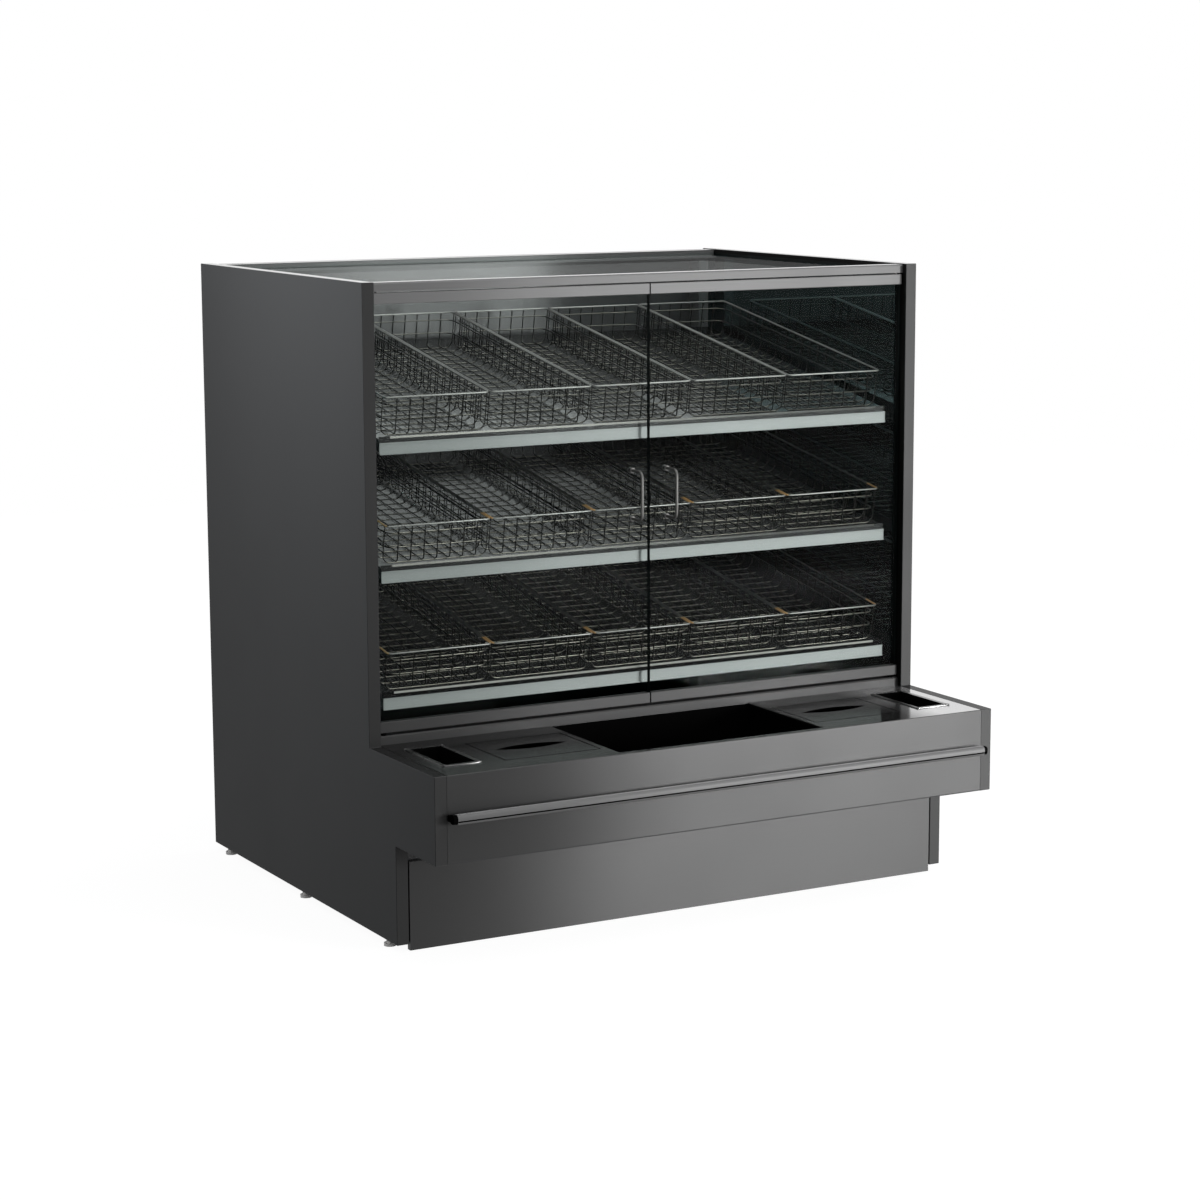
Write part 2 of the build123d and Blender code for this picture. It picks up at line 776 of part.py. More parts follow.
# Wire basket: a welded grid floor with four grid walls under a thicker rim, made lying flat
# with its front lower edge on the X axis, then set on the sloping shelves
row_half = shelf_half - basket_row_margin
basket_width = (2 * row_half - (baskets_per_shelf - 1) * basket_gap) / baskets_per_shelf
basket_run = basket_front_depth - back_inner_depth - basket_rear_room
basket_length = basket_run / cos(slope)
wall_height = basket_height - basket_wire - weld_gap
wall_middle = basket_wire + weld_gap + wall_height / 2
end_width = basket_width - 2 * (basket_rim + weld_gap)
rim_low = basket_height - basket_rim
floor_plane = Plane(origin=(0, basket_length / 2, 0))
side_planes = [
    Plane(origin=(x, basket_length / 2, wall_middle), x_dir=(0, 1, 0), z_dir=(1, 0, 0))
    for x in (-basket_width / 2, basket_width / 2 - basket_wire)
]
end_planes = [
    Plane(origin=(0, y, wall_middle), x_dir=(1, 0, 0), z_dir=(0, -1, 0))
    for y in (basket_wire, basket_length)
]
grids = [(floor_plane, basket_width, basket_length, floor_columns, floor_rows)]
grids += [(plane, basket_length, wall_height, floor_rows, wall_rows) for plane in side_planes]
grids += [(plane, end_width, wall_height, floor_columns, wall_rows) for plane in end_planes]
with BuildPart() as basket:
    for plane, grid_width, grid_height, columns, rows in grids:
        hole_width = (grid_width - (columns + 1) * basket_wire) / columns
        hole_height = (grid_height - (rows + 1) * basket_wire) / rows
        with BuildSketch(plane):
            Rectangle(grid_width, grid_height)
            with GridLocations(hole_width + basket_wire, hole_height + basket_wire, columns, rows):
                Rectangle(hole_width, hole_height, mode=Mode.SUBTRACT)
        extrude(amount=basket_wire)
    for sign in (-1, 1):
        slab(
            (sign * basket_width / 2, sign * (basket_width / 2 - basket_rim)),
            (0, basket_length),
            (rim_low, basket_height),
        )
    for low_y in (0, basket_length - basket_rim):
        slab((-end_width / 2, end_width / 2), (low_y, low_y + basket_rim), (rim_low, basket_height))

for shelf_name, floor_z in zip(shelf_names, floor_heights):
    for place in range(baskets_per_shelf):
        basket_x = -row_half + basket_width / 2 + place * (basket_width + basket_gap)
        seat = Plane(
            origin=(
                basket_x,
                y_at(basket_front_depth) - basket_shelf_gap * sin(slope),
                floor_z + basket_shelf_gap * cos(slope),
            ),
            x_dir=(1, 0, 0),
            z_dir=(0, -sin(slope), cos(slope)),
        )
        with BuildPart() as placed_basket:
            add(basket.part.moved(seat.location))
        keep(placed_basket, f"{shelf_name}_basket_{place + 1}")

# Doors: a frameless pane between two slotted rails, on pins at its outer end
door_inner_x = door_split / 2
door_outer_x = inner_half - door_end_gap
glass_front_depth = door_center_depth + door_glass_thickness / 2
glass_back_depth = door_center_depth - door_glass_thickness / 2
pane_bottom = door_bottom + door_rail_height - glass_bite
pane_top = door_top - door_rail_height + glass_bite
stud_points = [handle_height - handle_length / 2, handle_height + handle_length / 2]
for side_name, sign in (("left", -1), ("right", 1)):
    door_x = (sign * door_inner_x, sign * door_outer_x)
    pull_x = sign * handle_x
    pivot = (sign * pivot_x, y_at(door_center_depth))

    with BuildPart() as door_rails:
        for rail_bottom in (door_bottom, door_top - door_rail_height):
            slab(
                door_x,
                (y_at(door_front_depth), y_at(door_back_depth)),
                (rail_bottom, rail_bottom + door_rail_height),
            )
        chamfer(door_rails.edges().filter_by(Axis.X), door_edge_chamfer)
        slab(
            door_x,
            (y_at(glass_front_depth), y_at(glass_back_depth)),
            (pane_bottom, pane_top),
            mode=Mode.SUBTRACT,
        )
        for hole_z, depth in ((door_bottom, pin_hold), (door_top, -pin_hold)):
            with BuildSketch(Plane.XY.offset(hole_z)):
                with Locations(pivot):
                    Circle(pin_radius + pin_clearance)
            extrude(amount=depth, mode=Mode.SUBTRACT)
    keep(door_rails, f"{side_name}_door_rails")

    with BuildPart() as door_glass:
        slab(door_x, (y_at(glass_front_depth), y_at(glass_back_depth)), (pane_bottom, pane_top))
        with BuildSketch(Plane.XZ.offset(-y_at(glass_back_depth))):
            with Locations(*[(pull_x, z) for z in stud_points]):
                Circle(handle_stud_radius + handle_hole_room)
        extrude(amount=door_glass_thickness, mode=Mode.SUBTRACT)
    keep(door_glass, f"{side_name}_door_glass")

    with BuildPart() as door_pins:
        for low_z, high_z in (
            (sill_top - pin_reach, door_bottom + pin_hold),
            (door_top - pin_hold, header_bottom + pin_reach),
        ):
            with BuildSketch(Plane.XY.offset(low_z)):
                with Locations(pivot):
                    Circle(pin_radius)
            extrude(amount=high_z - low_z)
    keep(door_pins, f"{side_name}_door_pins")

    bar_y = y_at(glass_front_depth + handle_standoff)
    with BuildPart() as door_handle:
        with BuildLine(Plane.YZ.offset(pull_x)) as pull_path:
            FilletPolyline(
                (y_at(glass_front_depth), stud_points[0]),
                (bar_y, stud_points[0]),
                (bar_y, stud_points[1]),
                (y_at(glass_front_depth), stud_points[1]),
                radius=handle_bend,
            )
        with BuildSketch(Plane(origin=(pull_x, y_at(glass_front_depth), stud_points[0]), z_dir=(0, -1, 0))):
            Circle(handle_rod / 2)
        sweep()
        with BuildSketch(Plane.XZ.offset(-y_at(glass_front_depth))):
            with Locations(*[(pull_x, z) for z in stud_points]):
                Circle(handle_cap_radius)
        extrude(amount=handle_cap_thickness / 2)
        with BuildSketch(Plane.XZ.offset(-y_at(glass_front_depth))):
            with Locations(*[(pull_x, z) for z in stud_points]):
                Circle(handle_stud_radius)
        extrude(amount=-door_glass_thickness - handle_cap_thickness)
        with BuildSketch(Plane.XZ.offset(-y_at(glass_back_depth))):
            with Locations(*[(pull_x, z) for z in stud_points]):
                Circle(handle_cap_radius)
                Circle(handle_stud_radius + hole_clearance, mode=Mode.SUBTRACT)
        extrude(amount=-handle_cap_thickness)
    keep(door_handle, f"{side_name}_door_handle")
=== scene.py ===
"""A self-service display case, dressed: finishes for boards, metals and glass, and round-wire baskets."""
from math import cos, radians, sin

import bpy
from mathutils import Euler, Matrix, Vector


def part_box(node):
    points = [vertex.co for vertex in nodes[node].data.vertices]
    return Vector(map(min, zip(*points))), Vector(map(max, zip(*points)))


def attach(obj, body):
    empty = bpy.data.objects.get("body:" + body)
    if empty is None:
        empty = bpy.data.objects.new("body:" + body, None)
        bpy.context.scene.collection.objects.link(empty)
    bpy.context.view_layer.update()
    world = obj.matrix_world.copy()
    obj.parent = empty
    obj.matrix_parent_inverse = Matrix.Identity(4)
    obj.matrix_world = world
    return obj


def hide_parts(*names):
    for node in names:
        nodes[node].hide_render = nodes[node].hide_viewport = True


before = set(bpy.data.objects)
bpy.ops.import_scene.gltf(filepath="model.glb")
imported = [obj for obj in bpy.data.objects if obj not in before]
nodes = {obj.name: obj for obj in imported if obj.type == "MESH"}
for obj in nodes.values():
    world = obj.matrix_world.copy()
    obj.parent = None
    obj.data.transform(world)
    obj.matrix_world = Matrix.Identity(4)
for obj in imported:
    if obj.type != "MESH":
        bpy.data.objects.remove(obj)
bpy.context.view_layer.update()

# Studio: a pale paper floor and a white surround. The camera, mirrors and panes see both as white,
# but they throw little light on the case, so that its dark sheets stay dark. Four soft lamps light
# it, and the low one at the front right draws the long highlight across the ledge and the rails.
bpy.context.scene.view_settings.view_transform = "Standard"
floor_size = 12.0
floor_tone = 0.12
floor_lift = 0.946
fill_color = (0.97, 0.98, 1.0)
fill_strength = 0.45


def grey(tone):
    """A neutral colour of one tone."""
    return (tone, tone, tone)


def combined(tree, operation, total, *others):
    """Combines outputs of nodes, or an output and plain numbers, one after another."""
    for other in others:
        both = tree.nodes.new("ShaderNodeMath")
        both.operation = operation
        tree.links.new(total, both.inputs[0])
        if isinstance(other, bpy.types.NodeSocket):
            tree.links.new(other, both.inputs[1])
        else:
            both.inputs[1].default_value = other
        total = both.outputs[0]
    return total


def mixed(tree, share, first, second):
    """Leads one shader over to another by a share."""
    mix = tree.nodes.new("ShaderNodeMixShader")
    tree.links.new(share, mix.inputs["Fac"])
    tree.links.new(first, mix.inputs[1])
    tree.links.new(second, mix.inputs[2])
    return mix.outputs[0]


def rays_seen(tree):
    """One for rays from the camera, a mirror or a pane, and nought for the light that falls on things."""
    rays = tree.nodes.new("ShaderNodeLightPath")
    kinds = ("Is Camera Ray", "Is Glossy Ray", "Is Transmission Ray")
    return combined(tree, "MAXIMUM", *(rays.outputs[kind] for kind in kinds))


bpy.ops.object.select_all(action="DESELECT")
bpy.ops.mesh.primitive_plane_add(size=floor_size)
studio_floor = bpy.context.object
studio_floor.name = "studio_floor"
paper = bpy.data.materials.new("pale_paper")
paper.use_nodes = True
paper_tree = paper.node_tree
paper_tree.nodes.remove(paper_tree.nodes["Principled BSDF"])
paper_matt = paper_tree.nodes.new("ShaderNodeBsdfDiffuse")
paper_matt.inputs["Color"].default_value = (*grey(floor_tone), 1)
paper_glow = paper_tree.nodes.new("ShaderNodeEmission")
paper_lift = combined(paper_tree, "MULTIPLY", rays_seen(paper_tree), floor_lift)
paper_sum = paper_tree.nodes.new("ShaderNodeAddShader")
paper_tree.links.new(paper_lift, paper_glow.inputs["Strength"])
paper_tree.links.new(paper_matt.outputs[0], paper_sum.inputs[0])
paper_tree.links.new(paper_glow.outputs[0], paper_sum.inputs[1])
paper_tree.links.new(paper_sum.outputs[0], paper_tree.nodes["Material Output"].inputs["Surface"])
studio_floor.data.materials.append(paper)

surround = bpy.data.worlds.new("white_surround")
bpy.context.scene.world = surround
surround.use_nodes = True
sky = surround.node_tree
sky_fill = sky.nodes["Background"]
sky_fill.inputs["Color"].default_value = (*fill_color, 1)
sky_fill.inputs["Strength"].default_value = fill_strength
sky_seen = sky.nodes.new("ShaderNodeBackground")
sky_seen.inputs["Color"].default_value = (*grey(1), 1)
sky_whole = mixed(sky, rays_seen(sky), sky_fill.outputs[0], sky_seen.outputs[0])
sky.links.new(sky_whole, sky.nodes["World Output"].inputs["Surface"])


def soft_lamp(name, place, aim, size, watts, spread=180):
    """Hangs one rectangular softbox at a place, turned towards an aim, its spread in degrees."""
    bpy.ops.object.light_add(type="AREA", location=place)
    lamp = bpy.context.object
    lamp.name = name
    lamp.data.shape = "RECTANGLE"
    lamp.data.size, lamp.data.size_y = size
    lamp.data.energy = watts
    lamp.data.spread = radians(spread)
    lamp.rotation_euler = (Vector(aim) - Vector(place)).to_track_quat("-Z", "Y").to_euler()
    return lamp


key_lamp = soft_lamp(
    "front_right_lamp", place=(2.4, -3.9, 0.62), aim=(0.2, -0.3, 0.6), size=(1.5, 1.1), watts=210
)
top_lamp = soft_lamp("top_lamp", place=(0.9, -0.6, 3.6), aim=(0.3, 0, 0.6), size=(3.0, 3.0), watts=70)
left_lamp = soft_lamp(
    "left_lamp", place=(-1.6, 0.1, 2.4), aim=(-0.635, 0, 1.6), size=(1.0, 1.0), watts=19, spread=70
)
shelf_lamp = soft_lamp(
    "shelf_lamp", place=(-0.45, -3.3, 1.72), aim=(-0.33, 0.1, 0.93), size=(0.5, 0.25), watts=14, spread=24
)

# Camera: where the photograph was taken from. Its place, turn and lens were fitted to the corners
# of the case in the photograph, and it is level but for a fifth of a degree.
camera_aim = Vector((0.1115, 0.1715, 0.549))
camera_distance = 6.41
camera_yaw = 0.5045
camera_pitch = 0.1657
camera_roll = -0.0038
camera_lens = 88.545
level_part = cos(camera_pitch)
looking = Vector((sin(camera_yaw) * level_part, cos(camera_yaw) * level_part, -sin(camera_pitch)))
bpy.ops.object.camera_add(location=camera_aim - looking * camera_distance)
camera = bpy.context.object
camera.name = "photo_camera"
camera.data.lens = camera_lens
camera.rotation_mode = "QUATERNION"
camera.rotation_quaternion = looking.to_track_quat("-Z", "Y") @ Euler((0, 0, camera_roll)).to_quaternion()
bpy.context.scene.camera = camera

# Side panels: one-inch boards faced with a charcoal laminate, which has a fine pearl grain. Their
# edges carry a satin steel band, polished on top. They stand on the levelling feet, and the boards
# and rails fixed between them keep them upright.
laminate_color = (0.026, 0.027, 0.028)
laminate_shine = 0.15
face_shine = 0.02
band_tone = 0.021
inner_shade_tone = 0.003
inner_skin = 0.0001
fascia_reach = 0.02
fascia_fade = 0.03
beside_fascia_shine = 0.18
top_band_tone = 0.5
top_band_blur = 0.1
top_band_room = 0.1
ledge_top_tone = 0.01
ledge_top_shine = 0.02
satin_blur = 0.333


def grained(
    name, color, roughness, grain, tone=0.1, gloss=0.05, relief=0.00002, stretch=(1, 1, 1), metal=0.0,
    brushed=0.0, shine=0.5
):
    """A finish whose tone, gloss and relief follow a fine grain, brushed along X if asked."""
    finish = bpy.data.materials.new(name)
    finish.use_nodes = True
    tree = finish.node_tree
    link = tree.links.new
    shader = tree.nodes["Principled BSDF"]
    shader.inputs["Metallic"].default_value = metal
    shader.inputs["Specular IOR Level"].default_value = shine
    place = tree.nodes.new("ShaderNodeTexCoord")
    pull = tree.nodes.new("ShaderNodeMapping")
    pull.inputs["Scale"].default_value = stretch
    fine = tree.nodes.new("ShaderNodeTexNoise")
    fine.inputs["Scale"].default_value = grain
    fine.inputs["Detail"].default_value = 3
    cloud = tree.nodes.new("ShaderNodeTexNoise")
    cloud.inputs["Scale"].default_value = 5
    cloud.inputs["Detail"].default_value = 2
    shades = tree.nodes.new("ShaderNodeMix")
    shades.data_type = "RGBA"
    shades.inputs["A"].default_value = [channel * (1 - tone) for channel in color] + [1]
    shades.inputs["B"].default_value = [channel * (1 + tone) for channel in color] + [1]
    polish = tree.nodes.new("ShaderNodeMapRange")
    polish.inputs["To Min"].default_value = roughness - gloss
    polish.inputs["To Max"].default_value = roughness + gloss
    bump = tree.nodes.new("ShaderNodeBump")
    bump.inputs["Distance"].default_value = relief
    link(place.outputs["Object"], pull.inputs["Vector"])
    link(pull.outputs["Vector"], fine.inputs["Vector"])
    link(place.outputs["Object"], cloud.inputs["Vector"])
    link(fine.outputs["Fac"], shades.inputs["Factor"])
    link(shades.outputs["Result"], shader.inputs["Base Color"])
    link(cloud.outputs["Fac"], polish.inputs["Value"])
    link(polish.outputs["Result"], shader.inputs["Roughness"])
    link(fine.outputs["Fac"], bump.inputs["Height"])
    link(bump.outputs["Normal"], shader.inputs["Normal"])
    if brushed:
        shader.inputs["Anisotropic"].default_value = brushed
        shader.inputs["Anisotropic Rotation"].default_value = 0.25
        lay = tree.nodes.new("ShaderNodeVectorTransform")
        lay.convert_from = "OBJECT"
        lay.convert_to = "WORLD"
        lay.inputs[0].default_value = (1, 0, 0)
        link(lay.outputs[0], shader.inputs["Tangent"])
    return finish


def dress(finish, *names):
    """Gives CAD nodes a finish in place of their plain one."""
    for name in names:
        for holder in nodes[name].material_slots:
            holder.material = finish


def share_by(finish, coordinate, axis, nought_at, one_at, either_way=False):
    """A share that runs from nought to one between two values of a coordinate, or of its size."""
    tree = finish.node_tree
    place = tree.nodes.new("ShaderNodeTexCoord")
    axes = tree.nodes.new("ShaderNodeSeparateXYZ")
    step = tree.nodes.new("ShaderNodeMapRange")
    step.inputs["From Min"].default_value = nought_at
    step.inputs["From Max"].default_value = one_at
    tree.links.new(place.outputs[coordinate], axes.inputs[0])
    reading = axes.outputs[axis]
    if either_way:
        size = tree.nodes.new("ShaderNodeMath")
        size.operation = "ABSOLUTE"
        tree.links.new(reading, size.inputs[0])
        reading = size.outputs[0]
    tree.links.new(reading, step.inputs["Value"])
    return step.outputs["Result"]


def overlap(finish, *shares):
    """One only where every share is one."""
    return combined(finish.node_tree, "MULTIPLY", *shares)


def on_tops(finish):
    """One on faces that look straight up, and nought on the others."""
    return share_by(finish, "Normal", "Z", nought_at=0.95, one_at=0.99)


def retone(finish, share, color):
    """Turns a finish to another colour by a share."""
    tree = finish.node_tree
    shader = tree.nodes["Principled BSDF"]
    blend = tree.nodes.new("ShaderNodeMix")
    blend.data_type = "RGBA"
    blend.inputs["B"].default_value = (*color, 1)
    tree.links.new(shader.inputs["Base Color"].links[0].from_socket, blend.inputs["A"])
    tree.links.new(share, blend.inputs["Factor"])
    tree.links.new(blend.outputs["Result"], shader.inputs["Base Color"])


def blend_in(finish, share, socket, value):
    """Leads one input of a finish over to a value by a share."""
    tree = finish.node_tree
    target = tree.nodes["Principled BSDF"].inputs[socket]
    blend = tree.nodes.new("ShaderNodeMix")
    blend.inputs["A"].default_value = target.default_value
    blend.inputs["B"].default_value = value
    if target.links:
        tree.links.new(target.links[0].from_socket, blend.inputs["A"])
    tree.links.new(share, blend.inputs["Factor"])
    tree.links.new(blend.outputs["Result"], target)


def polish_tops(finish, tone, blur):
    """Lets tops mirror what stands behind them when seen from low down, and returns that share."""
    tree = finish.node_tree
    weight = tree.nodes.new("ShaderNodeLayerWeight")
    low_down = tree.nodes.new("ShaderNodeMapRange")
    low_down.inputs["From Min"].default_value = 0.5
    low_down.inputs["From Max"].default_value = 0.82
    tree.links.new(weight.outputs["Facing"], low_down.inputs["Value"])
    share = overlap(finish, on_tops(finish), low_down.outputs["Result"])
    retone(finish, share, grey(tone))
    blend_in(finish, share, "Metallic", 1)
    blend_in(finish, share, "Roughness", blur)
    return share


def link_lamp(lamp, label, names, state="INCLUDE"):
    """Lets a lamp reach the named nodes alone, or all but those if the state is EXCLUDE."""
    linked = bpy.data.collections.new(label)
    for name in names:
        linked.objects.link(nodes[name])
    for member in linked.collection_objects:
        member.light_linking.link_state = state
    lamp.light_linking.receiver_collection = linked


charcoal_laminate = grained(
    "charcoal_laminate", laminate_color, roughness=satin_blur, grain=900, brushed=1.0, shine=laminate_shine
)
on_faces = share_by(charcoal_laminate, "Normal", "X", nought_at=0.45, one_at=0.55, either_way=True)
on_band = share_by(charcoal_laminate, "Normal", "X", nought_at=0.55, one_at=0.45, either_way=True)
blend_in(charcoal_laminate, on_faces, "Specular IOR Level", face_shine)
blend_in(charcoal_laminate, on_faces, "Anisotropic", 0)
retone(charcoal_laminate, on_band, grey(band_tone))
panel_low, panel_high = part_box("right_side_panel")
# The inner faces are painted near black: painted shade, for the shade they stand in inside the case.
shaded_inner_side = share_by(
    charcoal_laminate, "Object", "X", nought_at=panel_low.x + 3 * inner_skin,
    one_at=panel_low.x + inner_skin, either_way=True,
)
retone(charcoal_laminate, overlap(charcoal_laminate, on_faces, shaded_inner_side), grey(inner_shade_tone))
near_front = share_by(
    charcoal_laminate, "Object", "Y", nought_at=panel_low.y + fascia_fade, one_at=panel_low.y + fascia_reach
)
beside_fascia = overlap(charcoal_laminate, on_band, near_front)
blend_in(charcoal_laminate, beside_fascia, "Specular IOR Level", beside_fascia_shine)
polish_tops(charcoal_laminate, top_band_tone, top_band_blur)
below_top = share_by(
    charcoal_laminate, "Object", "Z", nought_at=panel_high.z - top_band_room,
    one_at=panel_high.z - 2 * top_band_room,
)
ledge_tops = overlap(charcoal_laminate, on_tops(charcoal_laminate), below_top)
retone(charcoal_laminate, ledge_tops, grey(ledge_top_tone))
blend_in(charcoal_laminate, ledge_tops, "Metallic", 0)
blend_in(charcoal_laminate, ledge_tops, "Specular IOR Level", ledge_top_shine)
dress(charcoal_laminate, "left_side_panel", "right_side_panel")
link_lamp(left_lamp, "boards_under_left_lamp", ("left_side_panel", "right_side_panel"))

# Levelling feet: six moulded pads of pale nylon on threaded stems, which screw up into the lower
# edges of the side panels and set the case level on its floor.
nylon = grained("nylon", (0.85, 0.84, 0.82), roughness=0.45, grain=500)
dress(nylon, "levelling_feet")

# Base boards: black-faced plywood, fixed between the side panels. Supports, bulkhead and apron
# carry the case floor and the ledge deck, and a pan closes the ledge from below. The case floor is
# glossy, and shows through the doors under the lowest shelf.
black_board = grained("black_board", (0.01, 0.01, 0.011), roughness=0.4, grain=600, shine=0.2)
dress(black_board, "floor_supports", "bulkhead", "apron_panel", "ledge_pan", "ledge_deck")
floor_gloss = grained("floor_gloss", (0.006, 0.016, 0.016), roughness=0.12, grain=300, relief=0, shine=0.3)
dress(floor_gloss, "case_floor")


# Back panel: one board fixed between the side panels and faced with satin steel sheet, which shows
# between the shelves and through the top glass.
def satin(name, color, shine, grain=700, stretch=0.02):
    """A satin metal finish, brushed along X."""
    return grained(name, color, satin_blur, grain, stretch=(stretch, 1, 1), brushed=1.0, shine=shine)


satin_back = satin("satin_back", grey(0.03), shine=0.45)
dress(satin_back, "back_panel")

# Uprights and brackets: two slotted steel channels on the back panel, and plate brackets that hook
# into their slots under each shelf. Both have a black powder coat. Zinc-plated screws hold the
# channels through the back panel.
black_powder = grained("black_powder", (0.06, 0.062, 0.061), roughness=0.38, grain=1400, relief=0.00004)
dress(black_powder, "shelf_uprights", "shelf_brackets")
zinc_plate = grained("zinc_plate", (0.12, 0.12, 0.115), roughness=0.5, grain=300, metal=0.8)
dress(zinc_plate, "upright_screws")

# Side liners: two high-gloss dark sheets, flat against the inner faces of the side panels, which
# mirror the baskets in a greenish grey.
liner_gloss = grained(
    "liner_gloss", (0.2, 0.29, 0.3), roughness=0.01, grain=40, tone=0.05, gloss=0.004, relief=0, metal=1.0
)
dress(liner_gloss, "side_liners")

# Cross rails: anodised aluminium bars fixed between the side panels. The header and the rear rail
# carry the top glass and are polished on top. The sill under the doors and the rails of the doors
# share one finish, painted darker and less shiny below a set height: painted shade on the sill and
# the lower door rails.
rail_satin = satin("rail_satin", grey(0.09), shine=0.25)
polish_tops(rail_satin, tone=0.7, blur=0.15)
dress(rail_satin, "header_rail", "rear_top_rail")
upper_rail_z = 0.9
lower_rail_z = 0.8
lower_rail_shade_tone = 0.03
lower_rail_shine = 0.16
door_satin = satin("door_satin", grey(0.1), shine=0.25)
# Below this height the finish is painted darker: painted shade on the sill and the lower door rails.
shaded_lower_rails = share_by(door_satin, "Object", "Z", nought_at=upper_rail_z, one_at=lower_rail_z)
retone(door_satin, shaded_lower_rails, grey(lower_rail_shade_tone))
blend_in(door_satin, shaded_lower_rails, "Specular IOR Level", lower_rail_shine)
dress(door_satin, "sill_rail")

# Shelf pans: dark sheet steel with a folded rear edge and front lip, laid on the brackets. Each pan's
# tone is set to the light on its shelf, so the three are lit and shaded copies of one sheet. The lip
# face is painted near black as painted shade. A pale warm band along its top, above the price strip,
# is a painted highlight, and the pan behind a set depth is painted near black as a painted shadow of
# the gap behind it. The narrow shelf lamp lights the two upper pans through the left door, and the
# top lamp leaves all three dark.
pan_rear = 0.415
pan_rear_fade = 0.003
rear_shade_tone = 0.006
lip_shade_tone = 0.004
lip_shine = 0.02
lip_fade = 0.0002
hem_rise = 0.0075
hem_rise_fade = 0.0004
hem_reach = 0.002
hem_inset = 0.023
hem_end_fade = 0.001
hem_highlight_warmth = (1, 0.97, 0.9)
# Sheet and hem tones for each shelf, set to the light on it: lit and shaded copies, with a painted highlight
# on the lower hem.
pan_light_tones = (("lower", 0.045, 0.3), ("middle", 0.062, 0.055), ("upper", 0.036, 0.055))
for shelf, sheet_light_tone, hem_highlight_tone in pan_light_tones:
    dark_sheet = grained(
        f"{shelf}_dark_sheet", grey(sheet_light_tone), roughness=0.15, grain=400, gloss=0.03, relief=0, shine=0.2
    )
    strip_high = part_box(f"{shelf}_price_strip")[1]
    lip_y = strip_high.y + hem_reach
    hem_z = strip_high.z + hem_rise
    hem_x = strip_high.x - hem_inset
    # The lip is painted near black as painted shade, its top band pale and warm as a painted highlight, and
    # the rear strip near black as a painted shadow of the gap.
    lip = share_by(dark_sheet, "Object", "Y", nought_at=lip_y + lip_fade, one_at=lip_y)
    hem_highlight = overlap(
        dark_sheet, lip,
        share_by(dark_sheet, "Object", "Z", nought_at=hem_z, one_at=hem_z + hem_rise_fade),
        share_by(dark_sheet, "Object", "X", nought_at=hem_x, one_at=hem_x - hem_end_fade, either_way=True),
    )
    painted_rear_shade = share_by(dark_sheet, "Object", "Y", nought_at=pan_rear, one_at=pan_rear + pan_rear_fade)
    retone(dark_sheet, painted_rear_shade, grey(rear_shade_tone))
    retone(dark_sheet, lip, grey(lip_shade_tone))
    retone(dark_sheet, hem_highlight, [hem_highlight_tone * channel for channel in hem_highlight_warmth])
    blend_in(dark_sheet, lip, "Specular IOR Level", lip_shine)
    dress(dark_sheet, f"{shelf}_shelf_pan")
link_lamp(shelf_lamp, "pans_under_shelf_lamp", ("middle_shelf_pan", "upper_shelf_pan"))
link_lamp(
    top_lamp, "pans_without_top_lamp", ("lower_shelf_pan", "middle_shelf_pan", "upper_shelf_pan"), "EXCLUDE"
)

# Price strips: pale satin aluminium channels, extruded and clipped along the front lips of the
# shelves to hold price cards.
strip_satin = satin("strip_satin", (0.21, 0.22, 0.215), shine=0.25, grain=900, stretch=0.05)
dress(strip_satin, "lower_price_strip", "middle_price_strip", "upper_price_strip")


# Wire baskets: nickel-plated steel wires, welded under a thicker rim. Cross wires run from rim to
# rim under the floor, long wires lie on them and rise at both ends, and two hoops tie the sides.
# The baskets stand loose on the sloping shelves, five to a shelf.
def only(piece):
    """Selects one object alone, so that the next operator acts on nothing else."""
    if bpy.context.mode != "OBJECT":
        bpy.ops.object.mode_set(mode="OBJECT")
    bpy.ops.object.select_all(action="DESELECT")
    piece.select_set(True)
    bpy.context.view_layer.objects.active = piece


def pick(piece, wanted):
    """Opens a piece in edit mode with only the corners that a test on their place names."""
    only(piece)
    bpy.ops.object.mode_set(mode="EDIT")
    bpy.ops.mesh.select_mode(type="VERT")
    bpy.ops.mesh.select_all(action="DESELECT")
    bpy.ops.object.mode_set(mode="OBJECT")
    for corner in piece.data.vertices:
        corner.select = wanted(corner.co)
    bpy.ops.object.mode_set(mode="EDIT")


def bent_wire(width, length, rod, bend, sides, is_open=False):
    """One wire bent round a flat rectangle, as a closed ring or as a U that is open on its +Y side."""
    bpy.ops.object.select_all(action="DESELECT")
    bpy.ops.mesh.primitive_plane_add(size=1)
    wire = bpy.context.object
    wire.scale = (width, length, 1)
    bpy.ops.object.transform_apply(scale=True)
    pick(wire, lambda place: True)
    bpy.ops.mesh.delete(type="ONLY_FACE")
    if is_open:
        pick(wire, lambda place: place.y > 0)
        bpy.ops.mesh.delete(type="EDGE")
    pick(wire, lambda place: place.y < 0 or not is_open)
    bpy.ops.mesh.bevel(offset=bend, segments=4, affect="VERTICES")
    bpy.ops.object.mode_set(mode="OBJECT")
    bpy.ops.object.convert(target="CURVE")
    wire = bpy.context.object
    wire.data.bevel_depth = rod / 2
    wire.data.bevel_resolution = sides
    wire.data.use_fill_caps = True
    bpy.ops.object.convert(target="MESH")
    return bpy.context.object


def put(piece, place, turn=(0, 0, 0)):
    """Turns a piece and sets it at a place, kept in its mesh."""
    only(piece)
    piece.rotation_euler = turn
    piece.location = place
    bpy.ops.object.transform_apply(location=True, rotation=True)


def merge(pieces):
    """Joins pieces into the first of them."""
    only(pieces[0])
    for piece in pieces:
        piece.select_set(True)
    bpy.ops.object.join()
    return bpy.context.object


